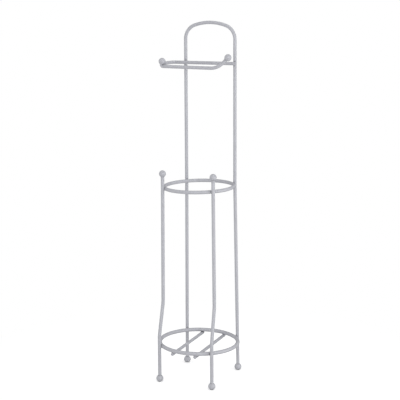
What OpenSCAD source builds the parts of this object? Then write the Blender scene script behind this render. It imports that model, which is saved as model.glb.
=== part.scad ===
// Free-standing toilet roll stand with a roll arm over a cage for spare rolls.
// It is bent from round wire, welded where the wires cross and finished with balls on every wire end.
// Millimetres. +Z is up, -Y is the front, and the origin is on the floor under the lower ring's middle.

/* [Wire] */
// Diameter of the wire of the frame, legs and roll holder
wire_d = 6.4; // [5:0.1:7]
// Diameter of the wire of the two rings
ring_wire_d = 6.9; // [5:0.1:8]
// Diameter of the two floor rods
floor_rod_d = 6; // [4:0.1:7]

/* [Rings] */
// Radius of the upper ring, to the middle of its wire
upper_ring_r = 65.85; // [64:0.05:72]
// Height of the upper ring
upper_ring_z = 374.5; // [260:0.5:390]
// How far the upper ring stands behind the lower one
upper_ring_back = 5; // [0:0.5:8]
// Radius of the lower ring, to the middle of its wire
lower_ring_r = 75.35; // [72:0.05:84]
// Height of the lower ring
lower_ring_z = 69.5; // [50:0.5:80]
// Direction of the upper ring's butt seam, from +X
upper_seam_turn = 115; // [90:1:130]
// Direction of the lower ring's butt seam, from +X
lower_seam_turn = 205; // [180:1:215]

/* [Back frame] */
// Width of the arch, between the middles of its uprights
arch_w = 102.5; // [92:0.5:112]
// Height of the arch, to the middle of its wire
arch_top_z = 679.8; // [640:0.1:740]
// Rise of the arch above its straight uprights
arch_rise = 31.5; // [30:0.5:38]
// Radius of the arch's two shoulders
shoulder_r = 27.5; // [15:0.5:29]

/* [Legs] */
// Spacing of the front legs at the upper ring
front_leg_span = 104; // [90:0.5:112]
// Spacing of the front legs just above their jog
jog_span = 107.3; // [100:0.1:110]
// Spacing of each pair of legs at the lower ring
foot_span = 109.8; // [100:0.1:120]
// How far above the lower ring a front leg starts its jog outwards
jog_top_rise = 86; // [60:0.5:130]
// How far above the lower ring the jog ends
jog_bottom_rise = 20; // [14:0.5:40]
// How far the finials of the front legs stand above the upper ring
finial_rise = 28.3; // [24:0.1:50]

/* [Floor rods] */
// Spacing of the floor rods
floor_rod_spacing = 46.2; // [30:0.2:70]
// How far each end of a floor rod runs past the middle of the lower ring's wire
floor_rod_overhang = 4.2; // [3:0.1:8]
// Turn of the pair of rods about the vertical
floor_rod_turn = 2.6; // [0:0.1:5]

/* [Roll holder] */
// How far the bracket's bar lies below the top of the arch
bar_drop = 75.7; // [60:0.1:120]
// How far the bar's free end stands past the right upright's middle
bar_overhang = 5; // [4:0.5:10]
// Distance of the bracket's forward reach from the middle
reach_x = 74.9; // [68:0.1:80]
// Inner radius of the bracket's corner
bracket_corner_r = 3; // [1:0.5:8]
// How far the arm's middle lies behind the lower ring's middle
arm_y = 4.5; // [0:0.5:8]
// Inner radius of the arm's corner under the inner ball
arm_corner_r = 0.5; // [0.25:0.25:0.75]
// Distance of the arm's upward bend from the middle, where its straight runs would meet
tip_bend_x = 39.4; // [30:0.1:46]
// Radius of the upward bend
tip_bend_r = 36; // [20:1:42]
// Angle of the tip above the arm
tip_angle = 44; // [30:1:50]
// Length of the tip, from where the straight runs would meet to the ball's middle
tip_l = 29; // [26:0.5:36]

/* [Balls] */
// Diameter of the feet, finials and arm balls
ball_d = 13; // [11:0.5:14]
// Depth of the flat under each foot
foot_flat = 0.4; // [0.2:0.1:1]

/* [Fits] */
// Gap between wires that cross, which the weld bead fills
weld_gap = 0.2; // [0.1:0.05:0.3]
// Radius of a weld bead
weld_r = 2.8; // [2:0.1:3]
// Clearance between a weld bead and the leg it holds
bead_fit = 0.08; // [0.06:0.01:0.15]
// Clearance between a wire and the socket in its ball
socket_fit = 0.05; // [0.02:0.01:0.1]
// Gap between the arm and the inner ball that stands on it
ball_seat = 0.4; // [0.3:0.1:1]
// Width of a ring's butt seam
seam_w = 1.2; // [0.8:0.1:2]
// How far the seam stands proud of the wire
seam_crown = 0.25; // [0.1:0.05:0.4]

/* [Hidden] */
wire_facets = 64;
ring_facets = 240;
$fn = wire_facets;

coat = [0.72, 0.72, 0.76];
bead = [0.62, 0.62, 0.67];

// A bend is a touch fuller where it starts and ends, as a forming die leaves it
die_mark = 0.03;
// Short of each start and end, the arc stops by this much inside the mark
die_gap = 0.05;

// The uprights and legs stand just outside the rings, so each touches its ring at one point
upper_leg_r = upper_ring_r + (ring_wire_d + wire_d) / 2 + weld_gap;
lower_leg_r = lower_ring_r + (ring_wire_d + wire_d) / 2 + weld_gap;
back_x = arch_w / 2;
back_y = upper_ring_back + sqrt(upper_leg_r ^ 2 - back_x ^ 2);
front_x = front_leg_span / 2;
front_y = upper_ring_back - sqrt(upper_leg_r ^ 2 - front_x ^ 2);
foot_x = foot_span / 2;
foot_y = sqrt(lower_leg_r ^ 2 - foot_x ^ 2);
foot_z = ball_d / 2 - foot_flat;

// The back legs run straight on past the lower ring to their feet
back_run = (upper_ring_z - foot_z) / (upper_ring_z - lower_ring_z);
back_foot_x = back_x + (foot_x - back_x) * back_run;
back_foot_y = back_y + (foot_y - back_y) * back_run;

// The arch is a basket handle: two shoulders of one radius and a crown of a larger one, all tangent
crown_r = ((back_x - shoulder_r) ^ 2 + arch_rise ^ 2 - shoulder_r ^ 2) / (2 * (arch_rise - shoulder_r));
crown_half = asin((back_x - shoulder_r) / (crown_r - shoulder_r));
shoulder_tangent = shoulder_r * tan((90 - crown_half) / 2);
crown_tangent_z = arch_top_z - crown_r + crown_r / cos(crown_half);

jog_top_z = lower_ring_z + jog_top_rise;
jog_bottom_z = lower_ring_z + jog_bottom_rise;
finial_z = upper_ring_z + finial_rise;

floor_rod_x = floor_rod_spacing / 2;
// Each rod crosses the lower ring's wire this far in front of its own middle, and behind it
floor_rod_reach = sqrt(lower_ring_r ^ 2 - floor_rod_x ^ 2);
floor_rod_l = 2 * (floor_rod_reach + floor_rod_overhang);
floor_rod_z = lower_ring_z - (ring_wire_d + floor_rod_d) / 2 - weld_gap;

bar_y = back_y - wire_d - weld_gap;
bar_z = arch_top_z - bar_drop;
arm_z = bar_z - wire_d;
inner_ball_z = arm_z + wire_d / 2 + ball_seat + ball_d / 2;
tip_x = tip_bend_x + tip_l * cos(tip_angle);
tip_z = arm_z + tip_l * sin(tip_angle);

function unit(v) = v / norm(v);
function turn_at(p, i) = acos(unit(p[i] - p[i - 1]) * unit(p[i + 1] - p[i]));
function tangent_at(p, r, i) =
    i == 0 || i == len(p) - 1 ? 0 : r[i - 1] * tan(turn_at(p, i) / 2);
function mirror_x(p) = [-p.x, p.y, p.z];

module aim(v) {
    rotate([0, acos(v.z / norm(v)), atan2(v.y, v.x)])
        children();
}

// A straight run of wire
module run(a, b, d) {
    translate(a)
        aim(b - a)
            cylinder(d = d, h = norm(b - a));
}

// The fuller spot where a bend meets a straight run
module die_spot(at, along, d) {
    translate(at)
        aim(along)
            sphere(d = d + 2 * die_mark);
}

// The arc of one bend, of radius r, at corner i of the path p
module bend(p, i, r, d) {
    along = unit(p[i] - p[i - 1]);
    turn = turn_at(p, i);
    axis = cross(along, unit(p[i + 1] - p[i])) / sin(turn);
    out = cross(along, axis);
    middle = p[i] - along * r * tan(turn / 2) - out * r;
    skip = die_gap / r * 180 / PI;
    multmatrix([
        [out.x, along.x, axis.x, middle.x],
        [out.y, along.y, axis.y, middle.y],
        [out.z, along.z, axis.z, middle.z],
        [0, 0, 0, 1]
    ])
        rotate([0, 0, skip])
            rotate_extrude(angle = turn - 2 * skip)
                translate([r, 0])
                    circle(d = d);
}

// Round wire along the corners p, with the bend radii r at the inner ones. A radius of 0 is a plain kink.
module wire(p, r, d) {
    last = len(p) - 1;
    for (i = [0 : last - 1]) {
        along = unit(p[i + 1] - p[i]);
        from = tangent_at(p, r, i) + (i > 0 && r[i - 1] == 0 ? die_gap : 0);
        to = tangent_at(p, r, i + 1) + (i < last - 1 && r[i] == 0 ? die_gap : 0);
        if (norm(p[i + 1] - p[i]) - from - to > die_gap)
            run(p[i] + along * from, p[i + 1] - along * to, d);
        if (i > 0)
            die_spot(p[i] + along * tangent_at(p, r, i), along, d);
    }
    for (i = [1 : 1 : last - 1])
        if (r[i - 1] > 0) {
            along = unit(p[i] - p[i - 1]);
            back = tangent_at(p, r, i);
            bend(p, i, r[i - 1], d);
            if (norm(p[i] - p[i - 1]) - tangent_at(p, r, i - 1) - back > die_gap)
                die_spot(p[i] - along * back, along, d);
        }
}

// A ball at p whose socket takes the end of a wire that arrives along v
module ball(p, v) {
    translate(p)
        difference() {
            sphere(d = ball_d);
            aim(v)
                cylinder(d = wire_d + 2 * socket_fit, h = ball_d);
        }
}

module foot(p, v) {
    intersection() {
        ball(p, v);
        translate([p.x - ball_d, p.y - ball_d, 0])
            cube(2 * ball_d);
    }
}

// A ring of wire that is open at its seam
module ring(r, seam_turn) {
    seam = seam_w / r * 180 / PI;
    rotate([0, 0, seam_turn + seam / 2])
        rotate_extrude(angle = 360 - seam, $fn = ring_facets)
            translate([r, 0])
                circle(d = ring_wire_d, $fn = wire_facets);
}

module ring_seam(r, seam_turn) {
    seam = seam_w / r * 180 / PI;
    rotate([0, 0, seam_turn - seam / 2])
        rotate_extrude(angle = seam)
            translate([r, 0])
                circle(d = ring_wire_d + 2 * seam_crown);
}

// A bead at the one point where a leg from low to high touches a ring of radius r, at [x, y]
module leg_weld(at, r, seam_turn, low, high) {
    difference() {
        rotate([0, 0, atan2(at.y, at.x)])
            translate([r + (ring_wire_d + weld_gap) / 2, 0, 0])
                rotate([0, 90, 0])
                    sphere(r = weld_r);
        ring(r, seam_turn);
        run(low, high, wire_d + 2 * bead_fit);
    }
}

module at_upper_ring() {
    translate([0, upper_ring_back, upper_ring_z])
        children();
}

module at_lower_ring() {
    translate([0, 0, lower_ring_z])
        children();
}

module frame_wire() {
    left_foot = [-back_foot_x, back_foot_y, foot_z];
    left_ring = [-back_x, back_y, upper_ring_z];
    left_shoulder = [-back_x, back_y, arch_top_z - arch_rise + shoulder_tangent];
    crown = [0, back_y, crown_tangent_z];
    wire(
        [
            left_foot, left_ring, left_shoulder, crown,
            mirror_x(left_shoulder), mirror_x(left_ring), mirror_x(left_foot)
        ],
        [0, shoulder_r, crown_r, shoulder_r, 0],
        wire_d
    );
}

// The left leg, which the right one mirrors
module front_leg_wire() {
    finial = [-front_x, front_y, finial_z];
    at_ring = [-front_x, front_y, upper_ring_z];
    jog_top = [-jog_span / 2, front_y, jog_top_z];
    jog_bottom = [-foot_x, -foot_y, jog_bottom_z];
    end = [-foot_x, -foot_y, foot_z];
    wire([finial, at_ring, jog_top, jog_bottom, end], [0, 0, 0], wire_d);
}

module floor_rod(side) {
    rotate([0, 0, floor_rod_turn])
        translate([side * floor_rod_x, -floor_rod_l / 2, floor_rod_z])
            rotate([-90, 0, 0])
                cylinder(d = floor_rod_d, h = floor_rod_l);
}

// The bracket's bar crosses both uprights, turns forward and meets the arm's ball and corner
module bracket_wire() {
    difference() {
        wire(
            [
                [back_x + bar_overhang, bar_y, bar_z],
                [-reach_x, bar_y, bar_z],
                [-reach_x, arm_y + wire_d / 2 + weld_gap, bar_z]
            ],
            [bracket_corner_r + wire_d / 2],
            wire_d
        );
        translate([-reach_x, arm_y, inner_ball_z])
            sphere(d = ball_d + 2 * weld_gap);
    }
}

module arm_wire() {
    wire(
        [
            [-reach_x, arm_y, inner_ball_z],
            [-reach_x, arm_y, arm_z],
            [tip_bend_x, arm_y, arm_z],
            [tip_x, arm_y, tip_z]
        ],
        [arm_corner_r + wire_d / 2, tip_bend_r],
        wire_d
    );
}

module back_frame() {
    color(coat) frame_wire();
}

module front_left_leg() {
    color(coat) front_leg_wire();
}

module front_right_leg() {
    color(coat) mirror([1, 0, 0]) front_leg_wire();
}

module upper_ring() {
    color(coat) at_upper_ring() ring(upper_ring_r, upper_seam_turn);
}

module lower_ring() {
    color(coat) at_lower_ring() ring(lower_ring_r, lower_seam_turn);
}

module left_floor_rod() {
    color(coat) floor_rod(-1);
}

module right_floor_rod() {
    color(coat) floor_rod(1);
}

module roll_bracket() {
    color(coat) bracket_wire();
}

module roll_arm() {
    color(coat) arm_wire();
}

module front_left_foot() {
    color(coat) foot([-foot_x, -foot_y, foot_z], [0, 0, 1]);
}

module front_right_foot() {
    color(coat) foot([foot_x, -foot_y, foot_z], [0, 0, 1]);
}

module back_left_foot() {
    end = [-back_foot_x, back_foot_y, foot_z];
    color(coat) foot(end, [-back_x, back_y, upper_ring_z] - end);
}

module back_right_foot() {
    end = [back_foot_x, back_foot_y, foot_z];
    color(coat) foot(end, [back_x, back_y, upper_ring_z] - end);
}

module left_finial() {
    color(coat) ball([-front_x, front_y, finial_z], [0, 0, -1]);
}

module right_finial() {
    color(coat) ball([front_x, front_y, finial_z], [0, 0, -1]);
}

module arm_inner_ball() {
    color(coat) ball([-reach_x, arm_y, inner_ball_z], [0, 0, -1]);
}

module arm_tip_ball() {
    color(coat) ball([tip_x, arm_y, tip_z], [tip_bend_x - tip_x, 0, arm_z - tip_z]);
}

module upper_ring_welds() {
    up = [0, 0, wire_d];
    front = [front_x, front_y - upper_ring_back, 0];
    back = [back_x, back_y - upper_ring_back, 0];
    color(bead)
        at_upper_ring()
            for (leg = [mirror_x(front), front, mirror_x(back), back])
                leg_weld(leg, upper_ring_r, upper_seam_turn, leg - up, leg + up);
}

module lower_ring_welds() {
    up = [0, 0, wire_d];
    color(bead)
        at_lower_ring()
            for (side = [-1, 1]) {
                front = [side * foot_x, -foot_y, 0];
                back = [side * foot_x, foot_y, 0];
                lean = wire_d * unit([side * (back_x - foot_x), back_y - foot_y, upper_ring_z - lower_ring_z]);
                leg_weld(front, lower_ring_r, lower_seam_turn, front - up, front + up);
                leg_weld(back, lower_ring_r, lower_seam_turn, back - lean, back + lean);
            }
}

module floor_rod_welds() {
    weld_z = lower_ring_z - (ring_wire_d + weld_gap) / 2;
    color(bead)
        for (side = [-1, 1], end = [-1, 1])
            difference() {
                rotate([0, 0, floor_rod_turn])
                    translate([side * floor_rod_x, end * floor_rod_reach, weld_z])
                        sphere(r = weld_r);
                at_lower_ring() ring(lower_ring_r, lower_seam_turn);
                floor_rod(side);
            }
}

module roll_bracket_welds() {
    across = [wire_d, 0, 0];
    up = [0, 0, wire_d];
    color(bead)
        for (side = [-1, 1]) {
            upright = [side * back_x, back_y, bar_z];
            bar = [side * back_x, bar_y, bar_z];
            difference() {
                translate((upright + bar) / 2)
                    rotate([90, 0, 0])
                        sphere(r = weld_r);
                run(upright - up, upright + up, wire_d);
                run(bar - across, bar + across, wire_d);
            }
        }
}

// The bead behind the arm's corner, between the bracket's end, the arm and the ball
module roll_arm_weld() {
    color(bead)
        difference() {
            translate([-reach_x, arm_y + wire_d / 2 + weld_gap, arm_z + wire_d / 2])
                sphere(r = weld_r);
            bracket_wire();
            arm_wire();
            ball([-reach_x, arm_y, inner_ball_z], [0, 0, -1]);
        }
}

module ring_seam_welds() {
    color(bead) {
        at_upper_ring() ring_seam(upper_ring_r, upper_seam_turn);
        at_lower_ring() ring_seam(lower_ring_r, lower_seam_turn);
    }
}

back_frame();
front_left_leg();
front_right_leg();
upper_ring();
lower_ring();
left_floor_rod();
right_floor_rod();
roll_bracket();
roll_arm();
front_left_foot();
front_right_foot();
back_left_foot();
back_right_foot();
left_finial();
right_finial();
arm_inner_ball();
arm_tip_ball();
upper_ring_welds();
lower_ring_welds();
floor_rod_welds();
roll_bracket_welds();
roll_arm_weld();
ring_seam_welds();
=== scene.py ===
import math

import bmesh
import bpy
import numpy as np
from mathutils import Matrix, Vector, noise


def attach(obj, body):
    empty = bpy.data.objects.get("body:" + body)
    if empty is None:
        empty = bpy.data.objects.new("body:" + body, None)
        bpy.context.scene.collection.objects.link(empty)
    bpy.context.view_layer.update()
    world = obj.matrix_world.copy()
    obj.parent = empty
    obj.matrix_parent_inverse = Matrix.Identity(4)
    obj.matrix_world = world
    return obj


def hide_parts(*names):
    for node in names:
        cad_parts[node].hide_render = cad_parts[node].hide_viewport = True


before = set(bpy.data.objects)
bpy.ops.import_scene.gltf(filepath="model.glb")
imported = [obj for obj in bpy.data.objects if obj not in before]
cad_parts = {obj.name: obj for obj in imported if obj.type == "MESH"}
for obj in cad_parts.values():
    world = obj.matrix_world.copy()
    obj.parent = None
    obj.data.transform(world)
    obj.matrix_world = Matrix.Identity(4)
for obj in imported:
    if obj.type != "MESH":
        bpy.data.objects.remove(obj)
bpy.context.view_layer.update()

MM = 0.001
UP = (0, 0, 1)
DOWN = (0, 0, -1)
# Left and right, and front and back
SIDES = (-1, 1)
ENDS = (-1, 1)

# Sizes of the stand in millimetres. Most are the part's own, and a few follow the photograph more closely.
WIRE_R = 3.2
LEG_WIRE_R = 3.3
ROD_R = 3.0
# Ring wire as in the part, which places the legs and the rods
RING_WIRE_R = 3.45
WELD_GAP = 0.2
# A ring's directions are in degrees from +X. It rises with this slope towards rise_turn, since it isn't
# welded in quite level.
UPPER_RING = {
    "centre": (-0.5, 5.0, 374.5), "radius": 65.85, "wire_r": 3.4,
    "seam": 115.0, "rise": 0.015, "rise_turn": 25.0,
}
LOWER_RING = {
    "centre": (-0.2, 0.0, 69.5), "radius": 75.35, "wire_r": 3.7,
    "seam": 205.0, "rise": 0.01, "rise_turn": 180.0,
}
SEAM_W = 1.2
ARCH_W = 102.5
ARCH_TOP = 679.8
ARCH_RISE = 31.5
SHOULDER_R = 27.5
FRONT_LEG_SPAN = 104.0
JOG_SPAN = 107.3
FOOT_SPAN = 109.8
JOG_TOP_RISE = 86.0
JOG_BOTTOM_RISE = 20.0
FINIAL_RISE = 28.3
ROD_SPACING = 46.2
ROD_TURN = 2.1
# How far a rod runs past the lower ring in front (-1) and behind (1)
ROD_OVERHANG = {-1: 3.4, 1: 4.2}
# How far the rods are sunk up into the lower ring, and how far they sit to the left
ROD_SINK = 0.3
ROD_LEFT = 0.2
BAR_DROP = 75.7
BAR_OVERHANG = 5.0
REACH_X = 75.7
BRACKET_BEND_R = 3.0 + WIRE_R
# How far the bracket's coped end stays off the inner ball
COPE_GAP = 0.1
ARM_Y = 4.5
ARM_CORNER_R = 0.3 + WIRE_R
# How far the arm falls from its corner to the bend of its tip
ARM_FALL = 1.2
# How far its corner stands out past the inner ball's middle
ARM_CORNER_OUT = 2.2
TIP_BEND_X = 38.9
TIP_BEND_R = 36.0
TIP_ANGLE = 44.0
TIP_L = 29.0
BALL_R = 6.5
BALL_SEAT = 0.8
FOOT_R = 6.9
FOOT_FLAT = 0.4

# Soft bends where a front leg jogs, and where a back leg starts to lean
LEG_BEND_R = 24.0
BACK_LEAN_R = 96.0
# Rounding that the coat leaves on a cut end, and the steps that it takes
END_SOFTENING = 0.55
END_STEPS = 5
# A ground seam: half its length, how far it stands proud in the middle, and how far its ends are sunk
SEAM_HALF = 1.7
SEAM_CROWN = 0.12
SEAM_SINK = 0.03
SEAM_STEPS = 34
# The groove left in it: half its width, its depth, and how much painted shade darkens it
GROOVE_HALF = 0.3
GROOVE_DEPTH = 0.25
GROOVE_SHADE = 0.3
# How finely the wires, balls and beads are made
WIRE_SIDES = 40
BEND_STEP = 3.0
RING_STEPS = 200
BALL_FACETS = (72, 48)
CUTTER_FACETS = (64, 32)
BEAD_SUBDIVISIONS = 5
# Points of a path that lie closer than this are one
TOO_CLOSE = 0.01

# Attribute that thickens a wire along its path
SWELL = "swell"
# Attribute that says how deep a point lies in its joint, from 0 to 1, and so how much painted shade
# darkens it
JOINT_DEPTH = "joint_depth"


def ring_contact(ring, x, side):
    """The middle of an upright or leg that stands just outside a ring at x, in front (-1) or behind (1)"""
    reach = ring["radius"] + RING_WIRE_R + WIRE_R + WELD_GAP
    return ring["centre"][1] + side * math.sqrt(reach ** 2 - x ** 2)


def sided(side, v):
    """The same point or direction on the right (1), or mirrored to the left (-1)"""
    return (side * v[0], v[1], v[2])


back_x = ARCH_W / 2
back_y = ring_contact(UPPER_RING, back_x, 1)
front_x = FRONT_LEG_SPAN / 2
front_y = ring_contact(UPPER_RING, front_x, -1)
foot_x = FOOT_SPAN / 2
foot_y = ring_contact(LOWER_RING, foot_x, 1)
foot_z = FOOT_R - FOOT_FLAT
upper_z = UPPER_RING["centre"][2]
lower_z = LOWER_RING["centre"][2]
front_foot = (foot_x, -foot_y, foot_z)
finial = (front_x, front_y, upper_z + FINIAL_RISE)
# A back leg runs straight on past the lower ring to its foot
back_lean = (back_x - foot_x, back_y - foot_y, upper_z - lower_z)
back_run = (upper_z - foot_z) / (upper_z - lower_z)
back_foot = (back_x + (foot_x - back_x) * back_run, back_y + (foot_y - back_y) * back_run, foot_z)

bar_y = back_y - 2 * WIRE_R - WELD_GAP
bar_z = ARCH_TOP - BAR_DROP
arm_z = bar_z - 2 * WIRE_R
inner_ball = (-REACH_X, ARM_Y, arm_z + WIRE_R + BALL_SEAT + BALL_R)
tip_lean = math.radians(TIP_ANGLE)
tip_ball = (TIP_BEND_X + TIP_L * math.cos(tip_lean), ARM_Y, arm_z + TIP_L * math.sin(tip_lean))
rod_x = ROD_SPACING / 2
rod_reach = math.sqrt(LOWER_RING["radius"] ** 2 - rod_x ** 2)
rod_z = lower_z - RING_WIRE_R - ROD_R - WELD_GAP + ROD_SINK
rod_turn = Matrix.Rotation(math.radians(ROD_TURN), 3, "Z")


# Paths

def rounded(corners, radii):
    """The path along the corners with an arc of the given radius at each inner one"""
    corners = [Vector(c) for c in corners]
    path = [corners[0]]
    for before, corner, after, radius in zip(corners, corners[1:], corners[2:], radii):
        come = (corner - before).normalized()
        leave = (after - corner).normalized()
        turn = come.angle(leave)
        inward = (leave - come * come.dot(leave)).normalized()
        start = corner - come * radius * math.tan(turn / 2)
        steps = max(4, round(math.degrees(turn) / BEND_STEP))
        for i in range(steps + 1):
            a = turn * i / steps
            path.append(start + come * radius * math.sin(a) + inward * radius * (1 - math.cos(a)))
    path.append(corners[-1])
    clean = path[:1]
    for point in path[1:]:
        if (point - clean[-1]).length > TOO_CLOSE:
            clean.append(point)
    return clean


def ring_rise(ring, x, y):
    """How far a ring lies above its middle's height at x and y from its middle"""
    turn = math.radians(ring["rise_turn"])
    return ring["rise"] * (x * math.cos(turn) + y * math.sin(turn))


def ring_arc(ring, start, sweep, steps):
    """Points along a ring from start through sweep, both in degrees"""
    middle = Vector(ring["centre"])
    points = []
    for i in range(steps + 1):
        a = math.radians(start + sweep * i / steps)
        x, y = ring["radius"] * math.cos(a), ring["radius"] * math.sin(a)
        points.append(middle + Vector((x, y, ring_rise(ring, x, y))))
    return points


def even(path):
    """The path as a chain of unchanging thickness with no joint on it"""
    return path, [1.0] * len(path), [0.0] * len(path)


def softened(chain, at_start, wire_r):
    """Rounds a cut end by adding points where the wire thins towards it"""
    path, swell, depth = chain
    end, inner = (path[0], path[1]) if at_start else (path[-1], path[-2])
    along = (inner - end).normalized()
    points, scales = [], []
    for i in range(END_STEPS):
        a = math.radians(90) * i / END_STEPS
        points.append(end + along * END_SOFTENING * (1 - math.sin(a)))
        scales.append(1 - END_SOFTENING / wire_r * (1 - math.cos(a)))
    points.append(end)
    scales.append(1 - END_SOFTENING / wire_r)
    depth = depth + [0.0] * (len(points) - 1)
    if at_start:
        return points[::-1] + path[1:], scales[::-1] + swell[1:], depth
    return path[:-1] + points, swell[:-1] + scales, depth


# Geometry Nodes

def link_chain(tree, *steps):
    """Links each (node, output) to the next (node, input)"""
    for (a, out), (b, into) in steps:
        tree.links.new(a.outputs[out], b.inputs[into])


def wire_tree():
    """Sweeps round wire along a path. The path's swell attribute thickens or thins it."""
    tree = bpy.data.node_groups.new("bent_wire", "GeometryNodeTree")
    face = tree.interface
    face.new_socket("Path", in_out="INPUT", socket_type="NodeSocketGeometry")
    radius = face.new_socket("Wire Radius", in_out="INPUT", socket_type="NodeSocketFloat")
    radius.default_value = WIRE_R * MM
    sides = face.new_socket("Sides", in_out="INPUT", socket_type="NodeSocketInt")
    sides.default_value = WIRE_SIDES
    face.new_socket("Coat", in_out="INPUT", socket_type="NodeSocketMaterial")
    face.new_socket("Wire", in_out="OUTPUT", socket_type="NodeSocketGeometry")
    new = tree.nodes.new
    given = new("NodeGroupInput")
    curve = new("GeometryNodeMeshToCurve")
    swell = new("GeometryNodeInputNamedAttribute")
    swell.data_type = "FLOAT"
    swell.inputs["Name"].default_value = SWELL
    profile = new("GeometryNodeCurvePrimitiveCircle")
    sweep = new("GeometryNodeCurveToMesh")
    sweep.inputs["Fill Caps"].default_value = True
    smooth = new("GeometryNodeSetShadeSmooth")
    realize = new("GeometryNodeRealizeInstances")
    paint = new("GeometryNodeSetMaterial")
    result = new("NodeGroupOutput")
    link_chain(
        tree,
        ((given, "Path"), (curve, "Mesh")),
        ((given, "Wire Radius"), (profile, "Radius")),
        ((given, "Sides"), (profile, "Resolution")),
        ((curve, "Curve"), (sweep, "Curve")),
        ((profile, "Curve"), (sweep, "Profile Curve")),
        ((swell, "Attribute"), (sweep, "Scale")),
        ((sweep, "Mesh"), (smooth, "Geometry")),
        ((smooth, "Geometry"), (realize, "Geometry")),
        ((realize, "Geometry"), (paint, "Geometry")),
        ((given, "Coat"), (paint, "Material")),
        ((paint, "Geometry"), (result, "Wire")),
    )
    return tree


BENT_WIRE = wire_tree()


def placed(name, data):
    """An object in the scene that shows a mesh, lamp or camera"""
    obj = bpy.data.objects.new(name, data)
    bpy.context.scene.collection.objects.link(obj)
    return obj


def path_mesh(name, chains):
    """One mesh of loose edge chains in metres. Each chain has its path, its swell, and how deep its points
    lie in a joint."""
    points, edges, swells, depths = [], [], [], []
    for path, swell, depth in chains:
        first = len(points)
        points += [p * MM for p in path]
        swells += swell
        depths += depth
        edges += [(first + i, first + i + 1) for i in range(len(path) - 1)]
    mesh = bpy.data.meshes.new(name)
    mesh.from_pydata(points, edges, [])
    mesh.attributes.new(SWELL, "FLOAT", "POINT").data.foreach_set("value", swells)
    mesh.attributes.new(JOINT_DEPTH, "FLOAT", "POINT").data.foreach_set("value", depths)
    return mesh


def plain(obj, name):
    """Turns the evaluated object into a plain mesh piece"""
    bpy.context.view_layer.update()
    done = obj.evaluated_get(bpy.context.evaluated_depsgraph_get())
    mesh = bpy.data.meshes.new_from_object(done)
    bpy.data.objects.remove(obj)
    mesh.name = name
    if SWELL in mesh.attributes:
        mesh.attributes.remove(mesh.attributes[SWELL])
    return placed(name, mesh)


def wire_piece(name, chains, coat, wire_r=WIRE_R, cut_by=None):
    """A plain mesh of wire swept along the chains, coped round the object cut_by"""
    obj = placed(name, path_mesh(name, chains))
    bend = obj.modifiers.new("bent_wire", "NODES")
    bend.node_group = BENT_WIRE
    sockets = {s.name: s.identifier for s in BENT_WIRE.interface.items_tree if s.in_out == "INPUT"}
    bend[sockets["Wire Radius"]] = wire_r * MM
    bend[sockets["Coat"]] = coat
    if cut_by:
        cope = obj.modifiers.new("cope", "BOOLEAN")
        cope.operation = "DIFFERENCE"
        cope.solver = "EXACT"
        cope.object = cut_by
    return plain(obj, name)


def dress(piece, slot, *nodes):
    """Puts a finished piece on the stand in place of its solids"""
    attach(piece, "root")
    if nodes:
        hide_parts(*nodes)
    return piece


# Finishes

class Finish:
    """A material's node tree with short ways to add and link nodes"""

    def __init__(self, name):
        self.material = bpy.data.materials.new(name)
        self.material.use_nodes = True
        self.nodes = self.material.node_tree.nodes
        self.links = self.material.node_tree.links
        self.nodes.clear()

    def add(self, kind, **settings):
        """A node with its settings, or else the inputs of those names, where _ stands for a space"""
        node = self.nodes.new(kind)
        for key, value in settings.items():
            if hasattr(node, key):
                setattr(node, key, value)
            else:
                node.inputs[key.replace("_", " ")].default_value = value
        return node

    def link(self, a, out, b, into):
        self.links.new(a.outputs[out], b.inputs[into])

    def remap(self, a, out, low, high, to_low=0.0, to_high=1.0, **settings):
        """A node that maps the range low to high of an output onto another range, and clamps it there"""
        limits = {"From_Min": low, "From_Max": high, "To_Min": to_low, "To_Max": to_high}
        node = self.add("ShaderNodeMapRange", **settings, **limits)
        self.link(a, out, node, "Value")
        return node

    def fade_to(self, colour, under, share, out):
        """The colour of the node under, going over to a fixed one as a share grows"""
        node = self.add("ShaderNodeMix", data_type="RGBA", B=(*colour, 1))
        self.link(share, out, node, "Factor")
        self.link(under, "Result", node, "A")
        return node


# Noise cells to a metre in the coat's clouds, specks and orange peel
CLOUD_SCALE = 34.0
SPECK_SCALE = 1500.0
PEEL_SCALE = 620.0
# The part of each noise's range, and of the openness of a corner, that makes the whole change
CLOUD_RANGE = (0.35, 0.7)
SPECK_RANGE = (0.3, 0.7)
CORNER_RANGE = (0.3, 0.92)
# How much the specks lighten and darken the coat
FLECK = 0.035
# How near a surface has to be for painted shade to darken the coat in between
PAINTED_SHADE_REACH = 3.5 * MM
PEEL_DEPTH = 0.05 * MM
GRIT_DEPTH = 0.012 * MM


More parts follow.
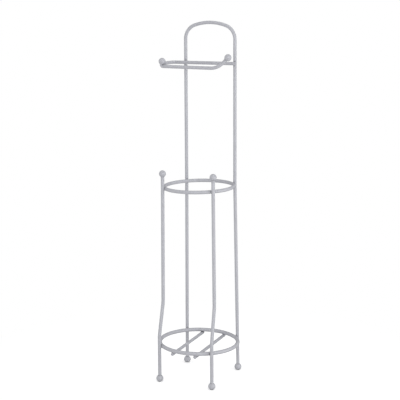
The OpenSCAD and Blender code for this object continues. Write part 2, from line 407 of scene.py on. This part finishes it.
def powder_coat(name, colour, shade, painted_shade, roughness=0.44):
    """Satin powder coat: mottled colour, orange peel, and painted shade that darkens it in crevices and
    deep in joints
    """
    f = Finish(name)
    out = f.add("ShaderNodeOutputMaterial")
    skin = f.add("ShaderNodeBsdfPrincipled", IOR=1.5, Specular_IOR_Level=0.5)
    f.link(skin, "BSDF", out, "Surface")
    place = f.add("ShaderNodeTexCoord")
    cloud = f.add("ShaderNodeTexNoise", Scale=CLOUD_SCALE, Detail=3.0, Roughness=0.55)
    speck = f.add("ShaderNodeTexNoise", Scale=SPECK_SCALE, Detail=2.0, Roughness=0.6)
    peel = f.add("ShaderNodeTexNoise", Scale=PEEL_SCALE, Detail=2.0, Roughness=0.5)
    for texture in (cloud, speck, peel):
        f.link(place, "Object", texture, "Vector")

    tone = f.add("ShaderNodeMix", data_type="RGBA", A=(*colour, 1), B=(*shade, 1))
    f.link(f.remap(cloud, "Fac", *CLOUD_RANGE), "Result", tone, "Factor")
    grain = f.add("ShaderNodeMix", data_type="RGBA", blend_type="MULTIPLY", Factor=1.0)
    f.link(tone, "Result", grain, "A")
    f.link(f.remap(speck, "Fac", *SPECK_RANGE, 1 - FLECK, 1 + FLECK), "Result", grain, "B")

    # Painted shade: the colour goes over to the crevice shade where ambient occlusion finds other surfaces
    # near
    corner = f.add("ShaderNodeAmbientOcclusion", samples=8, Distance=PAINTED_SHADE_REACH)
    darkened = f.fade_to(painted_shade, grain, f.remap(corner, "AO", *CORNER_RANGE, 1.0, 0.0), "Result")
    # More painted shade, where a point lies deep in a weld's joint or in a seam's groove
    joint = f.add("ShaderNodeAttribute", attribute_name=JOINT_DEPTH)
    deep = f.fade_to(painted_shade, darkened, joint, "Fac")
    f.link(deep, "Result", skin, "Base Color")

    gloss = f.remap(speck, "Fac", *SPECK_RANGE, roughness - 0.05, roughness + 0.06)
    f.link(gloss, "Result", skin, "Roughness")
    waves = f.add("ShaderNodeBump", Strength=0.5, Distance=PEEL_DEPTH)
    f.link(peel, "Fac", waves, "Height")
    grit = f.add("ShaderNodeBump", Strength=0.25, Distance=GRIT_DEPTH)
    f.link(speck, "Fac", grit, "Height")
    f.link(waves, "Normal", grit, "Normal")
    f.link(grit, "Normal", skin, "Normal")
    return f.material


# The coat in the open and in its clouds, and the painted shade in its crevices
COAT = (0.463, 0.467, 0.502)
COAT_SHADE = (0.44, 0.444, 0.48)
PAINTED_CREVICE_SHADE = (0.22, 0.22, 0.242)

wire_coat = powder_coat("powder_coat", COAT, COAT_SHADE, PAINTED_CREVICE_SHADE)
ball_coat = powder_coat("ball_coat", COAT, COAT_SHADE, PAINTED_CREVICE_SHADE, roughness=0.34)
holder_coat = powder_coat("holder_coat", COAT, COAT_SHADE, painted_shade=(0.29, 0.29, 0.315))
# Some of the welds are darker than the others, with darker painted shade in their crevices
dark_weld_coat = powder_coat(
    "weld_coat", (0.31, 0.31, 0.338), (0.25, 0.25, 0.275),
    painted_shade=(0.055, 0.055, 0.062), roughness=0.5,
)
full_weld_coat = powder_coat(
    "even_weld_coat", (0.44, 0.44, 0.475), (0.41, 0.41, 0.443),
    painted_shade=(0.3, 0.3, 0.325), roughness=0.47,
)


# Wires

def back_frame_path():
    """Up the left leg, over the basket-handle arch and down the right leg"""
    half = back_x - SHOULDER_R
    crown_r = (half ** 2 + ARCH_RISE ** 2 - SHOULDER_R ** 2) / (2 * (ARCH_RISE - SHOULDER_R))
    lean = math.asin(half / (crown_r - SHOULDER_R))
    shoulder_z = ARCH_TOP - ARCH_RISE + SHOULDER_R * math.tan((math.pi / 2 - lean) / 2)
    crown_z = ARCH_TOP - crown_r + crown_r / math.cos(lean)
    right = [(back_x, back_y, shoulder_z), (back_x, back_y, upper_z), back_foot]
    left = [sided(-1, corner) for corner in reversed(right)]
    radii = [BACK_LEAN_R, SHOULDER_R, crown_r, SHOULDER_R, BACK_LEAN_R]
    return rounded([*left, (0, back_y, crown_z), *right], radii)


def front_leg_path(side):
    corners = [
        finial,
        (front_x, front_y, upper_z),
        (JOG_SPAN / 2, front_y, lower_z + JOG_TOP_RISE),
        (foot_x, -foot_y, lower_z + JOG_BOTTOM_RISE),
        front_foot,
    ]
    return rounded([sided(side, corner) for corner in corners], [LEG_BEND_R] * 3)


def rod_cross(side, end, past=0.0):
    """Where a rod crosses the lower ring in front (-1) or behind (1), or how far past it"""
    return rod_turn @ Vector((side * rod_x - ROD_LEFT, end * (rod_reach + past), rod_z))


def rod_chain(side):
    ends = [rod_cross(side, end, ROD_OVERHANG[end]) for end in ENDS]
    return softened(softened(even(ends), True, ROD_R), False, ROD_R)


def bracket_chain():
    """From the bar's free end to the bracket's end behind the arm"""
    corners = [
        (back_x + BAR_OVERHANG, bar_y, bar_z),
        (-REACH_X, bar_y, bar_z),
        (-REACH_X, ARM_Y + WIRE_R + WELD_GAP, bar_z),
    ]
    return softened(even(rounded(corners, [BRACKET_BEND_R])), True, WIRE_R)


def arm_path():
    corners = [
        inner_ball,
        (-REACH_X - ARM_CORNER_OUT, ARM_Y, arm_z + ARM_FALL),
        (TIP_BEND_X, ARM_Y, arm_z),
        tip_ball,
    ]
    return rounded(corners, [ARM_CORNER_R, TIP_BEND_R])


def open_ring(ring):
    """A ring's wire, open at its seam"""
    gap = math.degrees(SEAM_W / ring["radius"])
    return ring_arc(ring, ring["seam"] + gap / 2, 360 - gap, RING_STEPS)


def seam_collar(ring):
    """The ground-back weld over a ring's butt seam, with the thin groove that is left in its middle"""
    sweep = math.degrees(2 * SEAM_HALF / ring["radius"])
    path = ring_arc(ring, ring["seam"] - sweep / 2, sweep, SEAM_STEPS)
    swell, depth = [], []
    for i in range(SEAM_STEPS + 1):
        along = 2 * i / SEAM_STEPS - 1
        groove = math.exp(-(SEAM_HALF * along / GROOVE_HALF) ** 2)
        crown = SEAM_CROWN * math.cos(math.pi / 2 * along) ** 0.5 - SEAM_SINK
        swell.append((ring["wire_r"] + crown - GROOVE_DEPTH * groove) / RING_WIRE_R)
        # The groove's painted shade goes into the joint depth
        depth.append(GROOVE_SHADE * groove)
    return path, swell, depth


def ball_mesh(name, centre, ball_r, segments, rings):
    """A ball, ground flat where it stands on the floor"""
    shape = bmesh.new()
    bmesh.ops.create_uvsphere(shape, u_segments=segments, v_segments=rings, radius=ball_r)
    for v in shape.verts:
        v.co += Vector(centre)
        v.co.z = max(v.co.z, 0)
        v.co *= MM
    mesh = bpy.data.meshes.new(name)
    shape.to_mesh(mesh)
    shape.free()
    return mesh


wires = {
    "back_frame": (even(back_frame_path()), WIRE_R, wire_coat),
    "front_left_leg": (even(front_leg_path(-1)), LEG_WIRE_R, wire_coat),
    "front_right_leg": (even(front_leg_path(1)), LEG_WIRE_R, wire_coat),
    "upper_ring": (even(open_ring(UPPER_RING)), UPPER_RING["wire_r"], wire_coat),
    "lower_ring": (even(open_ring(LOWER_RING)), LOWER_RING["wire_r"], wire_coat),
    "roll_arm": (even(arm_path()), WIRE_R, holder_coat),
    "left_floor_rod": (rod_chain(-1), ROD_R, wire_coat),
    "right_floor_rod": (rod_chain(1), ROD_R, wire_coat),
}
for node, (chain, wire_r, coat) in wires.items():
    dress(wire_piece(node + "_wire", [chain], coat, wire_r), "wire_coat", node)

cutter_mesh = ball_mesh("cope_cutter", inner_ball, BALL_R + COPE_GAP, *CUTTER_FACETS)
cutter = placed("cope_cutter", cutter_mesh)
bracket = wire_piece("roll_bracket_wire", [bracket_chain()], holder_coat, cut_by=cutter)
dress(bracket, "wire_coat", "roll_bracket")
bpy.data.objects.remove(cutter)

collars = [seam_collar(ring) for ring in (UPPER_RING, LOWER_RING)]
dress(wire_piece("ring_seam_beads", collars, full_weld_coat, RING_WIRE_R), "weld_coat", "ring_seam_welds")


# Welds. A solid is a function that gives the signed distance of points to it.

def rod_solid(point, along, wire_r=WIRE_R):
    """A straight wire through point"""
    point, along = np.array(point, float), np.array(Vector(along).normalized())

    def distance(p):
        d = p - point
        return np.linalg.norm(d - np.outer(d @ along, along), axis=1) - wire_r
    return distance


def ring_solid(ring):
    middle = np.array(ring["centre"], float)

    def distance(p):
        d = p - middle
        height = d[:, 2] - ring_rise(ring, d[:, 0], d[:, 1])
        return np.hypot(np.hypot(d[:, 0], d[:, 1]) - ring["radius"], height) - ring["wire_r"]
    return distance


def path_solid(path):
    """Wire along a path"""
    points = np.array([tuple(p) for p in path])

    def distance(p):
        best = np.full(len(p), np.inf)
        for a, b in zip(points, points[1:]):
            t = np.clip((p - a) @ (b - a) / ((b - a) @ (b - a)), 0, 1)
            best = np.minimum(best, np.linalg.norm(p - a - np.outer(t, b - a), axis=1))
        return best - WIRE_R
    return distance


def ball_solid(centre, ball_r=BALL_R):
    centre = np.array(centre, float)
    return lambda p: np.linalg.norm(p - centre, axis=1) - ball_r


# How far a bead lies under the surfaces that it joins
BEAD_SINK = 0.035
# Its points are marched out from its middle in this many steps, and stay at least this far from it
MARCH_STEPS = 60
SHORTEST = 0.02
# Frequency and strength of a bead's lumps, and how far the noise is shifted from bead to bead
LUMPS = ((2.6, 1.0), (6.0, 0.5))
LUMP_SHIFT = Vector((7.3, 3.1, 0))
# How far out of a ring's wire the middle of a leg's bead lies
BEAD_OUT = 0.05
# How far out of the arm's wire the middle of the arm's bead lies
ARM_BEAD_OUT = 0.4


def bead(at, solids, reach, blend=2.0, ripple=0.25):
    """A bead round at that blends the solids over a width that ripples, and stays within reach"""
    return {"at": tuple(at), "solids": solids, "reach": reach, "blend": blend, "ripple": ripple}


def fillet(at, solids, reach, blend, ripple, seed):
    """The shape of a bead, the smooth union of the solids, sunk just under them where it meets them.
    Each point is pushed out from at until it leaves the union."""
    ball = bmesh.new()
    bmesh.ops.create_icosphere(ball, subdivisions=BEAD_SUBDIVISIONS, radius=1.0)
    rays = np.array([tuple(v.co) for v in ball.verts])
    faces = [tuple(v.index for v in f.verts) for f in ball.faces]
    ball.free()
    offset = LUMP_SHIFT * seed
    rough = [sum(s * noise.noise(Vector(r) * f + offset) for f, s in LUMPS) for r in rays]
    width = blend * (1 + ripple * np.array(rough))
    length = np.full(len(rays), SHORTEST)
    start = np.array(at, float)
    for _ in range(MARCH_STEPS):
        p = start + rays * length[:, None]
        near, other = np.sort([s(p) for s in solids], axis=0)[:2]
        depth = np.maximum(width - (other - near), 0) / width
        union = near - depth ** 2 * width / 4 + BEAD_SINK
        length = np.clip(length - union, SHORTEST, reach)
    return start + rays * length[:, None], faces, depth


def bead_piece(name, beads, coats):
    """One piece from several beads and a coat for each. An attribute says how deep each point lies in its
    joint."""
    points, faces, depths, kinds = [], [], [], []
    palette = list(dict.fromkeys(coats))
    for i, (one, coat) in enumerate(zip(beads, coats)):
        p, f, d = fillet(**one, seed=i)
        kinds += [palette.index(coat)] * len(f)
        faces += [tuple(v + len(points) for v in face) for face in f]
        points += [tuple(x * MM for x in q) for q in p]
        depths += list(d)
    mesh = bpy.data.meshes.new(name)
    mesh.from_pydata(points, [], faces)
    mesh.attributes.new(JOINT_DEPTH, "FLOAT", "POINT").data.foreach_set("value", depths)
    for coat in palette:
        mesh.materials.append(coat)
    mesh.polygons.foreach_set("material_index", kinds)
    mesh.shade_smooth()
    return placed(name, mesh)


def leg_bead(ring, x, y, lean, wire_r):
    """The weld at a ring of a leg that passes x and y at the ring's height and leans along lean"""
    middle = Vector(ring["centre"])
    out = (Vector((x, y, middle.z)) - middle).normalized()
    at = middle + out * (ring["radius"] + ring["wire_r"] + BEAD_OUT)
    at.z += ring_rise(ring, at.x - middle.x, at.y - middle.y)
    return bead(at, [ring_solid(ring), rod_solid((x, y, middle.z), lean, wire_r)], reach=4.4)


def rod_bead(side, end):
    """The weld of a rod under the lower ring"""
    cross = rod_cross(side, end)
    at = (cross.x, cross.y, lower_z - RING_WIRE_R - WELD_GAP)
    rod = rod_solid(cross, rod_turn @ Vector((0, 1, 0)), ROD_R)
    return bead(at, [ring_solid(LOWER_RING), rod], reach=4.2)


def bar_bead(side):
    """The weld of the bracket's bar to an upright"""
    upright = rod_solid((side * back_x, back_y, bar_z), UP)
    bar = rod_solid((0, bar_y, bar_z), (1, 0, 0))
    return bead((side * back_x, (back_y + bar_y) / 2, bar_z), [upright, bar], reach=4.2)


upper_beads, lower_beads = [], []
for s in SIDES:
    upper_beads.append(leg_bead(UPPER_RING, s * front_x, front_y, UP, LEG_WIRE_R))
    upper_beads.append(leg_bead(UPPER_RING, s * back_x, back_y, UP, WIRE_R))
    lower_beads.append(leg_bead(LOWER_RING, s * foot_x, -foot_y, UP, LEG_WIRE_R))
    lower_beads.append(leg_bead(LOWER_RING, s * foot_x, foot_y, sided(s, back_lean), WIRE_R))
rod_beads = [rod_bead(s, end) for s in SIDES for end in ENDS]
bar_beads = [bar_bead(s) for s in SIDES]
darkened, full = dark_weld_coat, full_weld_coat
for name, beads, coats in (
    ("upper_ring", upper_beads, [full, full, darkened, full]),
    ("lower_ring", lower_beads, [full, full, darkened, full]),
    ("floor_rod", rod_beads, [full, darkened, full, full]),
    ("roll_bracket", bar_beads, [full, full]),
):
    dress(bead_piece(name + "_beads", beads, coats), "weld_coat", name + "_welds")

reach_solid = rod_solid((-REACH_X, bar_y, bar_z), (0, 1, 0))
arm_bead = bead(
    (-REACH_X, ARM_Y + WIRE_R + ARM_BEAD_OUT, arm_z + WIRE_R),
    [path_solid(arm_path()), reach_solid, ball_solid(inner_ball)],
    reach=5.5, blend=3.6, ripple=0.15,
)
dress(bead_piece("roll_arm_bead", [arm_bead], [holder_coat]), "weld_coat", "roll_arm_weld")


# Balls

for node in ("left_finial", "right_finial"):
    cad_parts[node].data.materials[0] = ball_coat

balls = {
    "front_left_foot": (sided(-1, front_foot), FOOT_R),
    "front_right_foot": (front_foot, FOOT_R),
    "back_left_foot": (sided(-1, back_foot), FOOT_R),
    "back_right_foot": (back_foot, FOOT_R),
    "arm_inner_ball": (inner_ball, BALL_R),
    "arm_tip_ball": (tip_ball, BALL_R),
}
for node, (centre, ball_r) in balls.items():
    mesh = ball_mesh(node + "_coated", centre, ball_r, *BALL_FACETS)
    mesh.materials.append(ball_coat)
    mesh.shade_smooth()
    dress(placed(node + "_coated", mesh), "ball_coat", node)


def neck(ball, along, wire_r=WIRE_R, ball_r=BALL_R):
    """The coat bridging a wire and its ball"""
    along = Vector(along).normalized()
    at = Vector(ball) + along * math.sqrt(ball_r ** 2 - wire_r ** 2)
    solids = [ball_solid(ball, ball_r), rod_solid(ball, along, wire_r)]
    return bead(at, solids, reach=4.1, blend=0.9, ripple=0.15)


necks = {
    "front_foot_necks": [neck(sided(s, front_foot), UP, LEG_WIRE_R, FOOT_R) for s in SIDES],
    "back_foot_necks": [neck(sided(s, back_foot), sided(s, back_lean), WIRE_R, FOOT_R) for s in SIDES],
    "finial_necks": [neck(sided(s, finial), DOWN, LEG_WIRE_R) for s in SIDES],
    "tip_neck": [neck(tip_ball, (-math.cos(tip_lean), 0, -math.sin(tip_lean)))],
}
for name, beads in necks.items():
    dress(bead_piece(name, beads, [ball_coat] * len(beads)), "ball_coat")


# Camera, in degrees and millimetres, with its focal length in pixels of a square frame

CAMERA_TURN = 25.255
CAMERA_DISTANCE = 2069.247
CAMERA_HEIGHT = 742.706
CAMERA_PITCH = -10.777
CAMERA_YAW = -0.094
CAMERA_ROLL = -0.317
CAMERA_F = 1111.365
SENSOR = 36.0
FRAME_PIXELS = 400


def aim_camera():
    turn, yaw = math.radians(CAMERA_TURN), math.radians(CAMERA_TURN + CAMERA_YAW)
    pitch, roll = math.radians(CAMERA_PITCH), math.radians(CAMERA_ROLL)
    look = Vector((-math.sin(yaw), math.cos(yaw), 0)) * math.cos(pitch) + Vector((0, 0, math.sin(pitch)))
    level = look.cross(Vector(UP)).normalized()
    over = level.cross(look)
    right = level * math.cos(roll) + over * math.sin(roll)
    above = over * math.cos(roll) - level * math.sin(roll)
    lens = bpy.data.cameras.new("camera")
    lens.sensor_width = SENSOR
    lens.lens = CAMERA_F / FRAME_PIXELS * SENSOR
    camera = placed("camera", lens)
    stand = Matrix((right, above, -look)).transposed().to_4x4()
    spot = Vector((CAMERA_DISTANCE * math.sin(turn), -CAMERA_DISTANCE * math.cos(turn), CAMERA_HEIGHT))
    stand.translation = spot * MM
    camera.matrix_world = stand
    bpy.context.scene.camera = camera


aim_camera()


# Studio, in metres and watts

WORLD_LIGHT = 0.5
# Glow that lifts the lit floor to white, and how far out the floor starts and ends to fade into the white
FLOOR_GLOW = 0.45
FLOOR_FADE = (0.18, 0.5)
FLOOR_HALF = 3.0
LAMPS_AIM = (0, 0, 0.34)
LAMPS = (
    ("key", (1.7, -1.5, 1.5), (1.2, 1.6), 6),
    ("fill", (-1.6, -1.9, 0.9), (1.4, 1.4), 4.5),
    ("top", (0.2, -0.3, 2.6), (1.6, 1.6), 10),
    ("front", (0.9, -2.1, 0.7), (1.2, 1.2), 14),
    ("right", (2.2, 0.3, 0.8), (1.4, 1.4), 17),
    ("left", (-2.2, -0.3, 0.8), (1.4, 1.4), 4.5),
)


def area_light(name, place, size, power):
    data = bpy.data.lights.new(name, "AREA")
    data.shape = "RECTANGLE"
    data.size, data.size_y = size
    data.energy = power
    lamp = placed(name, data)
    lamp.location = place
    lamp.rotation_euler = (Vector(LAMPS_AIM) - Vector(place)).to_track_quat("-Z", "Y").to_euler()


def studio_world():
    """White to the camera, and a weaker white light to everything else"""
    world = bpy.data.worlds.new("studio")
    bpy.context.scene.world = world
    world.use_nodes = True
    nodes, links = world.node_tree.nodes, world.node_tree.links
    nodes.clear()
    out = nodes.new("ShaderNodeOutputWorld")
    seen = nodes.new("ShaderNodeBackground")
    cast = nodes.new("ShaderNodeBackground")
    for background in (seen, cast):
        background.inputs["Color"].default_value = (1, 1, 1, 1)
    cast.inputs["Strength"].default_value = WORLD_LIGHT
    path = nodes.new("ShaderNodeLightPath")
    mix = nodes.new("ShaderNodeMixShader")
    links.new(path.outputs["Is Camera Ray"], mix.inputs["Fac"])
    links.new(cast.outputs[0], mix.inputs[1])
    links.new(seen.outputs[0], mix.inputs[2])
    links.new(mix.outputs[0], out.inputs["Surface"])


def studio_floor():
    """A pale floor that reads as white to the camera, fading into the white round it"""
    f = Finish("pale_floor")
    out = f.add("ShaderNodeOutputMaterial")
    lit = f.add("ShaderNodeBsdfDiffuse", Color=(0.8, 0.8, 0.8, 1))
    glow = f.add("ShaderNodeEmission", Strength=FLOOR_GLOW)
    near = f.add("ShaderNodeAddShader")
    white = f.add("ShaderNodeEmission")
    place = f.add("ShaderNodeTexCoord")
    far = f.add("ShaderNodeVectorMath", operation="LENGTH")
    seen = f.add("ShaderNodeMixShader")
    path = f.add("ShaderNodeLightPath")
    ground = f.add("ShaderNodeMixShader")
    f.link(place, "Object", far, 0)
    fade = f.remap(far, "Value", *FLOOR_FADE, interpolation_type="SMOOTHSTEP")
    f.link(lit, "BSDF", near, 0)
    f.link(glow, "Emission", near, 1)
    f.link(fade, "Result", seen, 0)
    f.link(near, "Shader", seen, 1)
    f.link(white, "Emission", seen, 2)
    f.link(path, "Is Camera Ray", ground, 0)
    f.link(lit, "BSDF", ground, 1)
    f.link(seen, "Shader", ground, 2)
    f.link(ground, "Shader", out, "Surface")
    corners = [(x * FLOOR_HALF, y * FLOOR_HALF, 0) for x, y in ((-1, -1), (1, -1), (1, 1), (-1, 1))]
    mesh = bpy.data.meshes.new("floor")
    mesh.from_pydata(corners, [], [(0, 1, 2, 3)])
    mesh.materials.append(f.material)
    floor = placed("floor", mesh)


studio_world()
studio_floor()
for lamp in LAMPS:
    area_light(*lamp)
bpy.context.scene.view_settings.view_transform = "Standard"
